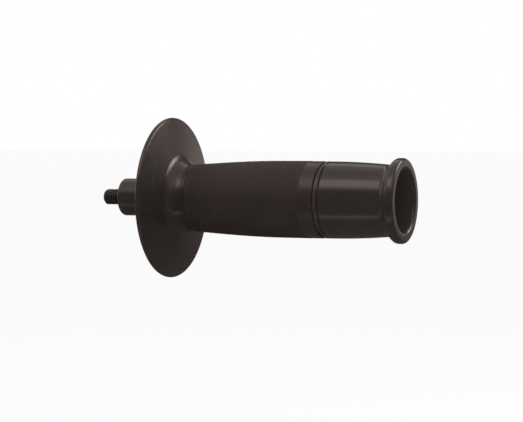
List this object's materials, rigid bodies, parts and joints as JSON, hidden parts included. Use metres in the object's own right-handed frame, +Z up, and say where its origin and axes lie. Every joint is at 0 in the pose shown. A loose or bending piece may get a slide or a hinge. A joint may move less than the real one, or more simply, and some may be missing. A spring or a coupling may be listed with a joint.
{
  "type": "power tool side handle",
  "caption": "Side handle with a dished hand guard, crowned soft grip, smooth rear sleeve with a rolled lip, and a short threaded stud.",
  "frame": {"origin": "centre of the nose's seat face, where the threaded stud comes out", "axes": "+X runs along the handle from the nose to the open mouth, the stud points to -X, +Z is up"},
  "size_m": [0.1633, 0.0814, 0.0814],
  "materials": {
    "hard_moulding": "glass-filled nylon, warm black, fine satin spark finish",
    "black_oxide_steel": "black oxide, thin and oiled",
    "soft_grip": "soft moulded grip, matt, with a fine leather-like grain",
    "sleeve_moulding": "smooth semi-gloss moulding, warm black"
  },
  "bodies": {
    "root": {"guard_moulding": "hard_moulding", "mounting_bolt": "black_oxide_steel", "front_grip": "soft_grip", "joint_ring": "hard_moulding", "rear_sleeve": "sleeve_moulding"}
  },
  "joints": []
}
